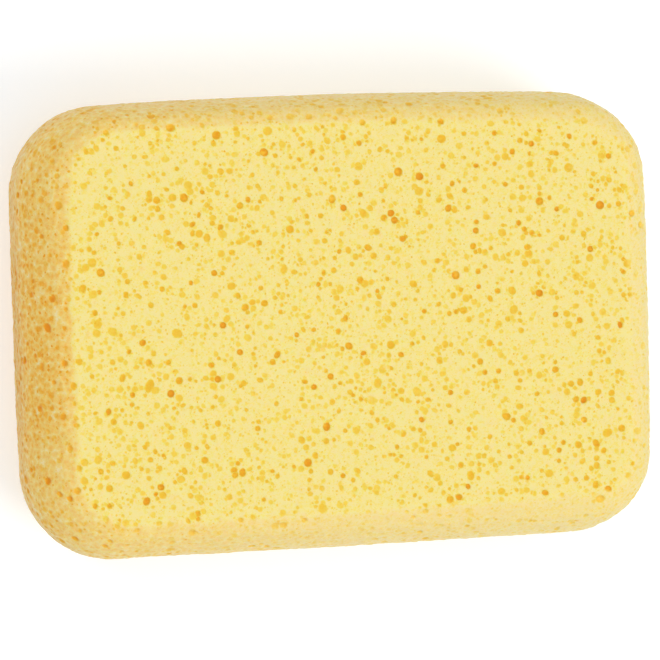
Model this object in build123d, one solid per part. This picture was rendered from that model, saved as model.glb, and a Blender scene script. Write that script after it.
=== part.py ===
from build123d import *
import os

os.makedirs("parts", exist_ok=True)

# Grouting sponge: one block of open-cell foam with rounded corners and barrel-shaped sides.
# Millimetres. It lies on its lower face; the origin is the middle of that face.
# +X along the length, +Y across the width, +Z up through the thickness.

LENGTH = 184.2         # 7-1/4 in, at the fullest point of the two ends
WIDTH = 130.2          # 5-1/8 in, at the fullest point of the two long sides
THICKNESS = 54.0       # 2-1/8 in
CORNER_RADIUS = 23.0   # the four upright corners, at mid-height
END_BOW = 1.3          # seen from above, how far each short end swells at its middle
LONG_SIDE_BOW = 1.4    # the same for the two long sides
SIDE_BULGE = 7.8       # how much further out the side wall is at mid-height than at a face
CREASE_RADIUS = 4.0    # roll where a flat face meets the side wall


def outline(height, inset):
    """Rounded rectangle at this height, its four sides swelling slightly, moved in by inset."""
    half_length = LENGTH / 2 - inset
    half_width = WIDTH / 2 - inset
    corner_x = half_length - END_BOW
    corner_y = half_width - LONG_SIDE_BOW
    with BuildSketch(Plane.XY.offset(height)) as sketch:
        with BuildLine():
            ThreePointArc((-corner_x, -corner_y), (0, -half_width), (corner_x, -corner_y))
            ThreePointArc((corner_x, -corner_y), (half_length, 0), (corner_x, corner_y))
            ThreePointArc((corner_x, corner_y), (0, half_width), (-corner_x, corner_y))
            ThreePointArc((-corner_x, corner_y), (-half_length, 0), (-corner_x, -corner_y))
        make_face()
        fillet(sketch.vertices(), CORNER_RADIUS - inset)
    return sketch.sketch


def sponge_block():
    """The block: barrel sides through three outlines, with both creases rolled over."""
    with BuildPart() as block:
        loft([outline(0, SIDE_BULGE), outline(THICKNESS / 2, 0), outline(THICKNESS, SIDE_BULGE)])
        lower_rim = block.faces().sort_by(Axis.Z)[0].edges()
        upper_rim = block.faces().sort_by(Axis.Z)[-1].edges()
        fillet(lower_rim + upper_rim, CREASE_RADIUS)
    return block.part


export_step(sponge_block(), "parts/sponge_block.step")
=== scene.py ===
import math

import bpy
import numpy as np
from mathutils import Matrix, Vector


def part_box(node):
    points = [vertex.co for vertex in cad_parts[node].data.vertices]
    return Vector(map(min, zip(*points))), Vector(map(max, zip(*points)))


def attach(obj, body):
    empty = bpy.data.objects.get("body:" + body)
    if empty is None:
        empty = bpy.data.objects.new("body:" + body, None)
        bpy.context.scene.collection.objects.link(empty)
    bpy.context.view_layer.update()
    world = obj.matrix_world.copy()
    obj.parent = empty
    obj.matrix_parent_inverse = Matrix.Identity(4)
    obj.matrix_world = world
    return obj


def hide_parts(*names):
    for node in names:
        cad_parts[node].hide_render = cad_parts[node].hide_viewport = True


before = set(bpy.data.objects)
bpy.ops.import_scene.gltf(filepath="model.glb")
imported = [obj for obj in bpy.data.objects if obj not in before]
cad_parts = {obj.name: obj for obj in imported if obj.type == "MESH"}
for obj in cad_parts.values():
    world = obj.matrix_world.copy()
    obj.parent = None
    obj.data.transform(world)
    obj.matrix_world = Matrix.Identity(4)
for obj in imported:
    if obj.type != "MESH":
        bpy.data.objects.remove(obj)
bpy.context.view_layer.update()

import openvdb
from mathutils import Matrix, Vector

# A hand-held grouting sponge: one block of yellow open-cell foam lying on a pale floor.
# The foam is worked out in millimetres as a distance field, with every larger pore carved from
# it as a flattened ball of air, and then meshed. The smallest pores are in the material.
# Everything handed to Blender is in metres.

MM = 0.001
SEED = 20451

low, high = (np.array(corner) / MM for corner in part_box("sponge_block"))
HALF = (high - low) / 2
MIDDLE = (high + low) / 2

# ---------------------------------------------------------------- the block's own shape

# Seen from above, each side swells by its bow at its middle. Seen from the side, each wall is a
# barrel: at mid-height it stands further out than at a face by its bulge. The four sides differ,
# as they seem to on the real block.
BOW = {"+X": 1.2, "-X": 0.5, "+Y": 2.3, "-Y": 0.6}
BULGE = {"+X": 5.0, "-X": 12.4, "+Y": 5.2, "-Y": 10.1}
BARREL_POWER = 3.0       # 2 would be an even arc; above it the wall is flatter at mid-height
CORNER_RADII = {"+X+Y": 24.3, "-X+Y": 24.1, "-X-Y": 24.0, "+X-Y": 22.8}
CORNER_TO_CORNER = np.array([181.6, 127.5]) / 2   # half length and width before the bows
CORNER_SHRINK = 8.0      # how much smaller a corner's radius is at a face than at mid-height
CREASE_RADII = {"+X": 6.0, "-X": 2.2, "+Y": 4.2, "-Y": 3.5}   # rolls where a face meets the walls


def rounded_corner(a, b, radius):
    """Joins two distances into one, with a corner of this radius between them."""
    a = a + radius
    b = b + radius
    return np.minimum(np.maximum(a, b), 0) + np.hypot(np.maximum(a, 0), np.maximum(b, 0)) - radius


def wall_distance(x, y, z):
    """Distance outside the upright side wall; negative inside."""
    across = 1 - (y / CORNER_TO_CORNER[1]) ** 2
    along = 1 - (x / CORNER_TO_CORNER[0]) ** 2
    barrel = np.abs((z - MIDDLE[2]) / HALF[2]) ** BARREL_POWER
    right = x - CORNER_TO_CORNER[0] - BOW["+X"] * across + BULGE["+X"] * barrel
    left = -x - CORNER_TO_CORNER[0] - BOW["-X"] * across + BULGE["-X"] * barrel
    back = y - CORNER_TO_CORNER[1] - BOW["+Y"] * along + BULGE["+Y"] * barrel
    front = -y - CORNER_TO_CORNER[1] - BOW["-Y"] * along + BULGE["-Y"] * barrel
    radius = np.where(
        x > 0,
        np.where(y > 0, CORNER_RADII["+X+Y"], CORNER_RADII["+X-Y"]),
        np.where(y > 0, CORNER_RADII["-X+Y"], CORNER_RADII["-X-Y"]),
    )
    end = np.where(x > 0, right, left)
    side = np.where(y > 0, back, front)
    return rounded_corner(end, side, radius - CORNER_SHRINK * barrel)


def by_side(values, x, y):
    """One value for each side, blended round the corners by the direction from the middle."""
    across = x / HALF[0]
    along = y / HALF[1]
    length = across ** 2 + along ** 2 + 1e-9
    end = np.where(x > 0, values["+X"], values["-X"])
    side = np.where(y > 0, values["+Y"], values["-Y"])
    return (end * across ** 2 + side * along ** 2) / length


def skin_distance(x, y, z):
    """Distance outside the block's skin before any pore is cut; negative inside."""
    roll = by_side(CREASE_RADII, x, y)
    return rounded_corner(wall_distance(x, y, z), np.abs(z - MIDDLE[2]) - HALF[2], roll)


# ---------------------------------------------------------------- pores

# Sizes are in millimetres. A tone runs from 0, the skin's colour, to 1, the darkest pore's.
PORES_PER_MM2 = 0.20     # drawn, before the smallest, the largest and the crowded ones are dropped
OPENING_MEDIAN = 0.42    # radius of a pore's opening in the skin
OPENING_SPREAD = 0.406   # of the radius's logarithm
OPENING_LIMITS = (0.30, 1.15)
TONE_RANGE = (0.27, 0.90)
TONE_POWER = 2.3         # above 1, pale pores outnumber dark ones
TONE_WITH_SIZE = 0.45    # how much darker a pore gets for each mm its radius is over the usual
USUAL_OPENING = 0.5
TONE_LIMITS = (0.05, 1.0)
LEAST_GAP = 0.85         # two pores may come this close, as a share of their radii together
PORE_STRETCH = 0.16      # spread of a pore's length against its width
PORE_DEPTH = 0.70        # a pore's depth as a share of a ball's
PORE_LEVELS = (-0.30, 0.70)   # a centre's height over the skin, as a share of half its depth
PORE_RISE = 1.15         # a wall's pores are this much taller than wide, as in risen foam: a guess
SHELL = 1.0              # pores are drawn in a layer this thick about the skin


def skin_normals(points):
    """Unit normals of the smooth skin at points in millimetres."""
    step = 0.05   # mm
    slopes = []
    for k in range(3):
        ahead = points.copy()
        behind = points.copy()
        ahead[:, k] += step
        behind[:, k] -= step
        slopes.append(skin_distance(*ahead.T) - skin_distance(*behind.T))
    normals = np.stack(slopes, axis=1)
    return normals / np.linalg.norm(normals, axis=1, keepdims=True)


class Pores:
    """Flattened, stretched balls of air that cut the skin."""

    def __init__(self, rng):
        size = 2 * HALF + SHELL
        tries = int(PORES_PER_MM2 / SHELL * size.prod())
        centres = MIDDLE + (rng.random((tries, 3)) - 0.5) * size
        height = skin_distance(*centres.T)
        centres = centres[np.abs(height) < SHELL / 2]
        openings = OPENING_MEDIAN * np.exp(OPENING_SPREAD * rng.standard_normal(len(centres)))
        fits = (openings > OPENING_LIMITS[0]) & (openings < OPENING_LIMITS[1])
        centres, openings = centres[fits], openings[fits]
        order = np.argsort(-openings)
        centres, openings = centres[order], openings[order]
        self.normals = skin_normals(centres)
        centres = centres - self.normals * skin_distance(*centres.T)[:, None]
        kept = keep_apart(centres, openings)
        centres, openings, self.normals = centres[kept], openings[kept], self.normals[kept]
        count = len(kept)
        draw = rng.random(count) ** TONE_POWER
        tone = TONE_RANGE[0] + (TONE_RANGE[1] - TONE_RANGE[0]) * draw
        tone = tone + TONE_WITH_SIZE * (openings - USUAL_OPENING)
        self.tone = np.clip(tone, *TONE_LIMITS)
        level = PORE_LEVELS[1] + (PORE_LEVELS[0] - PORE_LEVELS[1]) * draw
        self.radii = openings / np.sqrt(1 - level ** 2)
        self.centres = centres + self.normals * (level * self.radii * PORE_DEPTH)[:, None]
        aside = np.cross(self.normals, rng.standard_normal((count, 3)))
        self.aside = aside / np.linalg.norm(aside, axis=1, keepdims=True)
        stretch = np.exp(PORE_STRETCH * rng.standard_normal(count))
        self.squeeze = 1 / stretch ** 2 - 1
        self.rise = (1 / PORE_RISE ** 2 - 1) * (1 - self.normals[:, 2] ** 2)

    def reach_into(self, n, dx, dy, dz):
        """How far inside pore n each offset from its centre lies; negative outside it."""
        up = dx * self.normals[n, 0] + dy * self.normals[n, 1] + dz * self.normals[n, 2]
        across = dx * self.aside[n, 0] + dy * self.aside[n, 1] + dz * self.aside[n, 2]
        squared = dx ** 2 + dy ** 2 + dz ** 2
        squared = squared + (1 / PORE_DEPTH ** 2 - 1) * up ** 2 + self.squeeze[n] * across ** 2
        squared = squared + self.rise[n] * dz ** 2
        return self.radii[n] - np.sqrt(np.maximum(squared, 0))


def keep_apart(centres, radii):
    """Indices of the pores that stay when each must stand clear of the larger ones."""
    cell = 2 * OPENING_LIMITS[1]
    cells = np.floor(centres / cell).astype(int)
    nearby = [(i, j, k) for i in (-1, 0, 1) for j in (-1, 0, 1) for k in (-1, 0, 1)]
    held = {}
    kept = []
    points = centres.tolist()
    sizes = radii.tolist()
    for n, (i, j, k) in enumerate(cells.tolist()):
        px, py, pz = points[n]
        clear = True
        for di, dj, dk in nearby:
            for m in held.get((i + di, j + dj, k + dk), ()):
                qx, qy, qz = points[m]
                gap = LEAST_GAP * (sizes[n] + sizes[m])
                if (px - qx) ** 2 + (py - qy) ** 2 + (pz - qz) ** 2 < gap * gap:
                    clear = False
                    break
            if not clear:
                break
        if clear:
            held.setdefault((i, j, k), []).append(n)
            kept.append(n)
    return np.array(kept)


# ---------------------------------------------------------------- the field, carved and meshed

VOXEL = 0.4              # mm between the grid's points
PAD = 3 * VOXEL          # of air round the block, and the depth that the field is kept to
PORE_RIM = (-0.20, -0.02)   # mm outside a pore's wall over which its tone fades into the skin
PORE_REACH = 1.9         # how far round a pore its wall is worked out, as a share of its radius


def carved_field(pores):
    """The foam's distance field on a grid, and each grid point's nearest pore, or -1 for none."""
    axes = [np.arange(low[k] - PAD, high[k] + PAD, VOXEL) for k in range(3)]
    x, y, z = np.meshgrid(*axes, indexing="ij", sparse=True)
    field = skin_distance(x, y, z).astype(np.float32)
    owner = np.full(field.shape, -1, np.int32)
    deepest = np.full(field.shape, -2 * VOXEL, np.float32)
    for n, (centre, radius) in enumerate(zip(pores.centres, pores.radii)):
        reach = PORE_REACH * radius + 2 * VOXEL
        first = [int(max((centre[k] - reach - axes[k][0]) / VOXEL, 0)) for k in range(3)]
        last = [int((centre[k] + reach - axes[k][0]) / VOXEL) + 2 for k in range(3)]
        box = tuple(slice(a, b) for a, b in zip(first, last))
        dx = (axes[0][box[0]] - centre[0])[:, None, None]
        dy = (axes[1][box[1]] - centre[1])[None, :, None]
        dz = (axes[2][box[2]] - centre[2])[None, None, :]
        inside = pores.reach_into(n, dx, dy, dz)
        np.maximum(field[box], inside, out=field[box], casting="unsafe")
        nearer = inside > deepest[box]
        owner[box][nearer] = n
        deepest[box][nearer] = inside[nearer]
    return axes, field, owner


def smooth_step(low_edge, high_edge, values):
    """0 below the low edge, 1 above the high edge, and a smooth rise between them."""
    t = np.clip((values - low_edge) / (high_edge - low_edge), 0, 1)
    return t * t * (3 - 2 * t)


def pore_tones(pores, axes, owner, points):
    """Each point's tone: 0 on the skin, and the pore's own tone in a pore."""
    at = tuple(
        np.clip(np.rint((points[:, k] - axes[k][0]) / VOXEL).astype(int), 0, owner.shape[k] - 1)
        for k in range(3)
    )
    numbers = owner[at]
    tones = np.zeros(len(points))
    hit = numbers >= 0
    n = numbers[hit]
    inside = pores.reach_into(n, *(points[hit] - pores.centres[n]).T)
    tones[hit] = pores.tone[n] * smooth_step(*PORE_RIM, inside)
    return tones


def noise_at(points, cell, rng):
    """Smooth random values between -1 and 1, one lump every few cells of this many millimetres."""
    start = points.min(axis=0) - cell
    shape = np.ceil((points.max(axis=0) - start) / cell).astype(int) + 3
    knots = rng.random(tuple(shape)) * 2 - 1
    scaled = (points - start) / cell
    base = scaled.astype(int)
    part = scaled - base
    part = part * part * (3 - 2 * part)
    total = np.zeros(len(points))
    for corner in np.ndindex(2, 2, 2):
        weight = np.ones(len(points))
        for k in range(3):
            weight *= part[:, k] if corner[k] else 1 - part[:, k]
        total += weight * knots[tuple((base + corner).T)]
    return total


# How far each wall goes from the face's colour to tan, and how far its pores fade. These are
# estimates. The tan is partly the wall's own colour and partly painted shade, most on the -X wall;
# the rim darkens the walls with painted shade, and the fade's paler tint is partly painted sheen.
SIDE_TAN_AND_SHADE = {"+X": 0.0, "-X": 1.0, "+Y": 0.36, "-Y": 0.22}
SIDE_FADE = {"+X": 0.60, "-X": 0.10, "+Y": 0.50, "-Y": 0.72}

# Tilt is 0 on the flat faces and 1 where a wall stands upright.
CREASE_TILT, CREASE_SHARE = (0.01, 0.09), 0.72   # most of the change to wall is at the crease
WALL_TILT, WALL_SHARE = (0.11, 0.50), 0.28
FADE_TILT = (0.004, 0.05)
# The painted rim shade grows over this tilt.
RIM_TILT = (0.60, 1.0)
RAGGEDNESS = 0.03        # how far the lumps move the crease's line, in tilt

LUMP_CELLS = (2.2, 1.1)  # mm
FINE_LUMPS = 0.8         # the finer lumps' share of the coarser ones' height
SWELL_CELL = 14.0        # mm
FACE_LUMP = 0.02         # mm
WALL_LUMP = 0.13         # mm, added on a wall
WALL_SWELL = 0.15        # mm, on a wall only


def shaped_points(points, rng):
    """The points, moved by lumps and swells, and each one's shares of tan and shade, rim shade and
    fade.
    """
    normals = skin_normals(points)
    tilt = 1 - np.abs(normals[:, 2])
    lumps = noise_at(points, LUMP_CELLS[0], rng)
    lumps = lumps + FINE_LUMPS * noise_at(points, LUMP_CELLS[1], rng)
    swell = noise_at(points, SWELL_CELL, rng)
    ragged = tilt + RAGGEDNESS * lumps
    wall = CREASE_SHARE * smooth_step(*CREASE_TILT, ragged)
    wall = wall + WALL_SHARE * smooth_step(*WALL_TILT, ragged)
    # The tan share is partly the wall's own colour and partly painted shade, set side by side.
    tan_and_shade = wall * by_side(SIDE_TAN_AND_SHADE, points[:, 0], points[:, 1])
    height = (FACE_LUMP + WALL_LUMP * wall) * lumps + WALL_SWELL * swell * wall
    points = points + normals * height[:, None]
    fade = smooth_step(*FADE_TILT, ragged) * by_side(SIDE_FADE, points[:, 0], points[:, 1])
    # Painted shade, darkest where a tan wall stands upright.
    rim_shade = smooth_step(*RIM_TILT, tilt) * by_side(SIDE_TAN_AND_SHADE, points[:, 0], points[:, 1])
    return points, {"tan_and_shade": tan_and_shade, "rim_shade": rim_shade, "fade": fade}


def foam_mesh():
    """The carved block as a mesh, with its tones as attributes."""
    rng = np.random.default_rng(SEED)
    pores = Pores(rng)
    axes, field, owner = carved_field(pores)
    grid = openvdb.FloatGrid(float(PAD))
    grid.copyFromArray(np.clip(field, -PAD, PAD))
    points, triangles, quads = grid.convertToPolygons(0.0, 0.0)
    points = np.array([a[0] for a in axes]) + points * VOXEL
    tones = pore_tones(pores, axes, owner, points)
    points, paint = shaped_points(points, rng)
    mesh = bpy.data.meshes.new("foam")
    mesh.vertices.add(len(points))
    mesh.vertices.foreach_set("co", (points * MM).astype(np.float32).ravel())
    corners = np.concatenate([quads.ravel(), triangles.ravel()])
    sizes = np.concatenate([np.full(len(quads), 4), np.full(len(triangles), 3)])
    starts = np.cumsum(sizes) - sizes
    mesh.loops.add(len(corners))
    mesh.loops.foreach_set("vertex_index", corners.astype(np.int32))
    mesh.polygons.add(len(sizes))
    mesh.polygons.foreach_set("loop_start", starts.astype(np.int32))
    mesh.polygons.foreach_set("use_smooth", np.ones(len(sizes), bool))
    mesh.update(calc_edges=True)
    mesh.validate()
    for name, values in {"tone": tones, **paint}.items():
        attribute = mesh.attributes.new(name, "FLOAT", "POINT")
        attribute.data.foreach_set("value", values.astype(np.float32))
    add_bake_map(mesh, points, corners, sizes)
    return mesh


BAKE_SHEET = 330.0       # mm across the square that the six sides are laid out on
BAKE_CHARTS = (          # outward axis, axes laid along u and v, corner on the sheet in mm
    ((0, 0, 1), 0, 1, 1, 1),
    ((0, 0, -1), 0, 1, 1, 135),
    ((0, 1, 0), 0, 2, 1, 269),
    ((0, -1, 0), 2, 0, 188, 1),
    ((1, 0, 0), 2, 1, 188, 188),
    ((-1, 0, 0), 2, 1, 246, 1),
)


def add_bake_map(mesh, points, corners, sizes):
    """Lays the block's six sides out flat, so that a pore isn't cut off from the skin around it."""
    starts = np.cumsum(sizes) - sizes
    middles = np.add.reduceat(points[corners], starts, axis=0) / sizes[:, None]
    outward = np.array([chart[0] for chart in BAKE_CHARTS])
    side = np.repeat(np.argmax(skin_normals(middles) @ outward.T, axis=1), sizes)
    flat = np.zeros((len(corners), 2))
    for n, (_, along_u, along_v, left, bottom) in enumerate(BAKE_CHARTS):
        own = side == n
        flat[own, 0] = points[corners[own], along_u] - low[along_u] + left
        flat[own, 1] = points[corners[own], along_v] - low[along_v] + bottom
    layer = mesh.uv_layers.new(name="OFBake")
    layer.data.foreach_set("uv", (flat / BAKE_SHEET).astype(np.float32).ravel())


sponge = bpy.data.objects.new("foam_block", foam_mesh())
bpy.context.collection.objects.link(sponge)


# ---------------------------------------------------------------- material

# Finishes are named by the shader's own sockets, and the patterns' scales are per metre. The
# pores' tones and the patterns add up to one tone, which a ramp turns into colour.
FOAM_FINISH = {
    "Roughness": 0.9,
    "Specular IOR Level": 0.12,
    "Sheen Weight": 0.25,
    "Sheen Roughness": 0.4,
    "Subsurface Weight": 0.45,
    "Subsurface Radius": (0.40, 0.25, 0.12),   # how far red, green and blue light travel in foam
    "Subsurface Scale": 0.008,                 # metres for 1 of the above
}

# The smallest pores: the pattern's cell in mm, the largest radius as a share of a cell, and the
# share of the cells that hold a pore. The least ones are also paler.
SMALL_PORES = {"cell": 1.45, "biggest": 0.31, "share": 0.55}
LEAST_PORES = {"cell": 0.85, "biggest": 0.26, "share": 0.75}
SMALL_TONE = 0.85
LEAST_TONE = 0.45
FAINTEST = 0.2           # the palest pore's share of the darkest one's tone
DISC_EDGE = 0.05         # half the width of their soft edge, as a share of a cell
WOBBLE_SCALE = 900.0     # bends the patterns, so that no pore or dimple is a perfect disc
WOBBLE = 0.0007          # metres

MOTTLE = {"Scale": 1100.0, "Detail": 2.0, "Roughness": 0.8}
MOTTLE_MIDDLE = 0.47     # taken off, so that the mottle darkens and lightens about equally
MOTTLE_ON_FACE = 0.7

# A tan wall's skin is dimpled: darkest in the middle of each cell, and pale between the cells.
DIMPLE_SCALE = 620.0
DIMPLE_TONE = 0.50       # in the middle of a cell
DIMPLE_FALL = 1.1        # what it loses for each cell's width away from there
WALL_TONE = 0.385        # the tan wall's base tone, partly painted shade
PORES_ON_WALL = 0.80
DIMPLES_ON_WALL = 0.66
SPECKS_ON_TAN = 0.2      # how much stronger the smallest pores are on a tan wall

FADE_SHEEN_TINT = (1.0, 0.958, 1.12, 1.0)    # multiplies the face's colour where pores fade, partly a painted sheen
RIM_SHADE_TINT = (0.84, 0.81, 0.86, 1.0)     # shade painted at mid-height of a tan wall

BUMP = {"Strength": 0.4, "Distance": 0.0004}
BUMP_DIMPLES = 0.8       # their share of a pore's bump, on a tan wall only

# Tones and their sRGB colours, from the skin to the darkest pore.
FACE_COLOURS = (
    (0.00, (255, 233, 158)),
    (0.12, (255, 229, 123)),
    (0.25, (254, 221, 98)),
    (0.40, (252, 215, 86)),
    (0.60, (250, 205, 69)),
    (0.80, (246, 195, 57)),
    (1.00, (240, 174, 48)),
)
# On the walls, by the tan share: partly the wall's own colour and partly painted shade.
WALL_TAN_AND_SHADE_COLOURS = (
    (0.00, (255, 229, 176)),
    (0.14, (255, 220, 140)),
    (0.34, (255, 206, 102)),
    (0.65, (253, 180, 58)),
    (1.00, (246, 160, 42)),
)


def linear(r, g, b):
    """An sRGB colour, 0 to 255, as linear red, green, blue and alpha."""
    colour = []
    for channel in (r / 255, g / 255, b / 255):
        colour.append(channel / 12.92 if channel <= 0.04045 else ((channel + 0.055) / 1.055) ** 2.4)
    return (*colour, 1.0)


class Nodes:
    """Adds nodes to a material's tree, with sockets given as values or as other nodes' outputs."""

    def __init__(self, tree):
        self.tree = tree

    def put(self, socket, value):
        if isinstance(value, bpy.types.NodeSocket):
            self.tree.links.new(value, socket)
        else:
            socket.default_value = value

    def add(self, kind, inputs, **settings):
        made = self.tree.nodes.new("ShaderNode" + kind)
        for name, value in settings.items():
            setattr(made, name, value)
        for key, value in inputs.items():
            self.put(made.inputs[key], value)
        return made

    def math(self, operation, *values):
        return self.add("Math", dict(enumerate(values)), operation=operation).outputs[0]

    def vector(self, operation, inputs):
        return self.add("VectorMath", inputs, operation=operation).outputs[0]

    def ramp(self, factor, stops):
        made = self.add("ValToRGB", {"Fac": factor})
        elements = made.color_ramp.elements
        while len(elements) < len(stops):
            elements.new(0.5)
        for element, (place, colour) in zip(elements, stops):
            element.position = place
            element.color = linear(*colour)
        return made.outputs["Color"]

    def mix(self, factor, first, second, blend="MIX"):
        """Colours mixed; 6, 7 and output 2 are the node's own sockets for colours."""
        inputs = {0: factor, 6: first, 7: second}
        return self.add("Mix", inputs, data_type="RGBA", blend_type=blend).outputs[2]

    def attribute(self, name):
        return self.add("Attribute", {}, attribute_name=name).outputs["Fac"]


def shader_of(material, finish):
    """The material's shader, with its own sockets set to this finish."""
    material.use_nodes = True
    shader = material.node_tree.nodes["Principled BSDF"]
    for name, value in finish.items():
        shader.inputs[name].default_value = value
    return shader


def tiny_pores(nodes, place, cell, biggest, share):
    """Small round pores, 0 on the skin to 1 inside: some cells of a 3-D pattern hold one."""
    cells = nodes.add("TexVoronoi", {"Vector": place, "Scale": 1 / (cell * MM)})
    draw = nodes.add("SeparateColor", {"Color": cells.outputs["Color"]})
    smallest = biggest / 2
    size = nodes.math("MULTIPLY_ADD", draw.outputs[0], biggest - smallest, smallest)
    inside = nodes.math("SUBTRACT", size, cells.outputs["Distance"])
    edge = {"Value": inside, "From Min": -DISC_EDGE, "From Max": DISC_EDGE}
    disc = nodes.add("MapRange", edge, interpolation_type="SMOOTHSTEP").outputs[0]
    present = nodes.math("LESS_THAN", draw.outputs[1], share)
    strength = nodes.math("MULTIPLY_ADD", draw.outputs[2], 1 - FAINTEST, FAINTEST)
    return nodes.math("MULTIPLY", nodes.math("MULTIPLY", disc, present), strength)


def bent_place(nodes, place):
    """Each point's place, shifted a little by a noise."""
    noise = {"Vector": place, "Scale": WOBBLE_SCALE, "Detail": 1.0}
    wobble = nodes.add("TexNoise", noise).outputs["Color"]
    shift = nodes.vector("SUBTRACT", {0: wobble, 1: (0.5, 0.5, 0.5)})
    shift = nodes.vector("SCALE", {0: shift, "Scale": WOBBLE})
    return nodes.vector("ADD", {0: place, 1: shift})


def all_pores(nodes, bent, tan_and_shade, fade):
    """The tone of the carved pores and the smallest ones together, fainter where they fade."""
    small = nodes.math("MULTIPLY", tiny_pores(nodes, bent, **SMALL_PORES), SMALL_TONE)
    least = nodes.math("MULTIPLY", tiny_pores(nodes, bent, **LEAST_PORES), LEAST_TONE)
    specks = nodes.math("MAXIMUM", small, least)
    specks = nodes.math("MULTIPLY", specks, nodes.math("MULTIPLY_ADD", tan_and_shade, SPECKS_ON_TAN, 1.0))
    whole = nodes.math("MAXIMUM", nodes.attribute("tone"), specks)
    return nodes.math("MULTIPLY", whole, nodes.math("SUBTRACT", 1.0, fade))


def foam_material():
    material = bpy.data.materials.new("foam")
    shader = shader_of(material, FOAM_FINISH)
    nodes = Nodes(material.node_tree)
    tan_and_shade = nodes.attribute("tan_and_shade")
    fade = nodes.attribute("fade")
    place = nodes.add("TexCoord", {}).outputs["Object"]
    bent = bent_place(nodes, place)
    pores = all_pores(nodes, bent, tan_and_shade, fade)
    mottle = nodes.add("TexNoise", {"Vector": place, **MOTTLE}).outputs["Fac"]
    mottle = nodes.math("SUBTRACT", mottle, MOTTLE_MIDDLE)
    face_tone = nodes.math("ADD", pores, nodes.math("MULTIPLY", mottle, MOTTLE_ON_FACE))
    face = nodes.ramp(face_tone, FACE_COLOURS)
    # Where pores fade the skin turns paler and bluer: partly painted sheen.
    face = nodes.mix(fade, face, FADE_SHEEN_TINT, blend="MULTIPLY")
    dimples = nodes.add("TexVoronoi", {"Vector": bent, "Scale": DIMPLE_SCALE}).outputs["Distance"]
    dimples = nodes.math("MULTIPLY_ADD", dimples, -DIMPLE_FALL, DIMPLE_TONE)
    dimples = nodes.math("ADD", dimples, mottle)
    wall_tone = nodes.math("MULTIPLY_ADD", dimples, DIMPLES_ON_WALL, WALL_TONE)
    wall_tone = nodes.math("MULTIPLY_ADD", pores, PORES_ON_WALL, wall_tone)
    wall = nodes.ramp(wall_tone, WALL_TAN_AND_SHADE_COLOURS)
    # The walls' tan is partly their own colour and partly painted shade.
    colour = nodes.mix(tan_and_shade, face, wall)
    # Painted shade at mid-height of a tan wall.
    colour = nodes.mix(nodes.attribute("rim_shade"), colour, RIM_SHADE_TINT, blend="MULTIPLY")
    nodes.put(shader.inputs["Base Color"], colour)
    dents = nodes.math("MULTIPLY", nodes.math("MULTIPLY", dimples, tan_and_shade), BUMP_DIMPLES)
    height = nodes.math("MULTIPLY", nodes.math("ADD", pores, dents), -1.0)
    bump = nodes.add("Bump", {"Height": height, **BUMP})
    nodes.put(shader.inputs["Normal"], bump.outputs[0])
    return material


sponge.data.materials.append(foam_material())
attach(sponge, "root")
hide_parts("sponge_block")


# ---------------------------------------------------------------- floor, light and camera

FLOOR_RADIUS = 4.0       # metres
FLOOR_FINISH = {
    "Base Color": (0.86, 0.86, 0.86, 1),
    "Roughness": 0.9,
    "Emission Color": (0.90, 1.0, 1.10, 1),   # a little blue, against the foam's warm reflection
    "Emission Strength": 0.31,                # a soft glow, which keeps the shadow pale
}
LIGHTS = (               # name, place and diameter in metres, power in watts
    ("key", (1.7, -1.25, 2.6), 1.8, 35.0),
    ("fill", (0.0, 0.0, 1.9), 2.2, 14.4),
    ("side", (-1.4, 1.3, 1.7), 1.2, 9.0),
)
LIGHTS_AIM = (0, 0, 0.03)
WORLD_STRENGTH = 0.33

bpy.ops.mesh.primitive_circle_add(
    vertices=96, radius=FLOOR_RADIUS, fill_type="NGON", location=(0, 0, 0))
floor = bpy.context.object
floor.name = "floor"
floor_material = bpy.data.materials.new("floor")
shader_of(floor_material, FLOOR_FINISH)
floor.data.materials.append(floor_material)


def soft_light(name, place, size, power):
    lamp = bpy.data.lights.new(name, "AREA")
    lamp.shape = "DISK"
    lamp.size = size
    lamp.energy = power
    holder = bpy.data.objects.new(name, lamp)
    holder.location = place
    towards = Vector(LIGHTS_AIM) - Vector(place)
    holder.rotation_euler = towards.to_track_quat("-Z", "Y").to_euler()
    holder.visible_camera = False
    bpy.context.collection.objects.link(holder)


for light in LIGHTS:
    soft_light(*light)

world = bpy.data.worlds.new("studio")
world.use_nodes = True
background = world.node_tree.nodes["Background"]
background.inputs["Color"].default_value = (1, 1, 1, 1)
background.inputs["Strength"].default_value = WORLD_STRENGTH
bpy.context.scene.world = world
bpy.context.scene.view_settings.view_transform = "Standard"
bpy.context.scene.view_settings.look = "None"

CAMERA_YAW = math.radians(11.289)
CAMERA_PITCH = math.radians(3.786)
CAMERA_ROLL = math.radians(1.862)
CAMERA_DISTANCE = 0.8818               # metres
CAMERA_SIDESTEP = (0.00005, -0.00201)   # metres, right and up, to frame the block
LENS = 165.87                          # millimetres

turn = (Matrix.Rotation(CAMERA_ROLL, 3, "Z")
        @ Matrix.Rotation(CAMERA_PITCH, 3, "X")
        @ Matrix.Rotation(CAMERA_YAW, 3, "Y")).transposed()
camera = bpy.data.objects.new("camera", bpy.data.cameras.new("camera"))
camera.data.lens = LENS
camera.data.sensor_width = 36.0
camera.data.clip_end = 20.0
place = Vector(MIDDLE * MM) + turn @ Vector((*CAMERA_SIDESTEP, CAMERA_DISTANCE))
camera.matrix_world = Matrix.Translation(place) @ turn.to_4x4()
bpy.context.collection.objects.link(camera)
bpy.context.scene.camera = camera
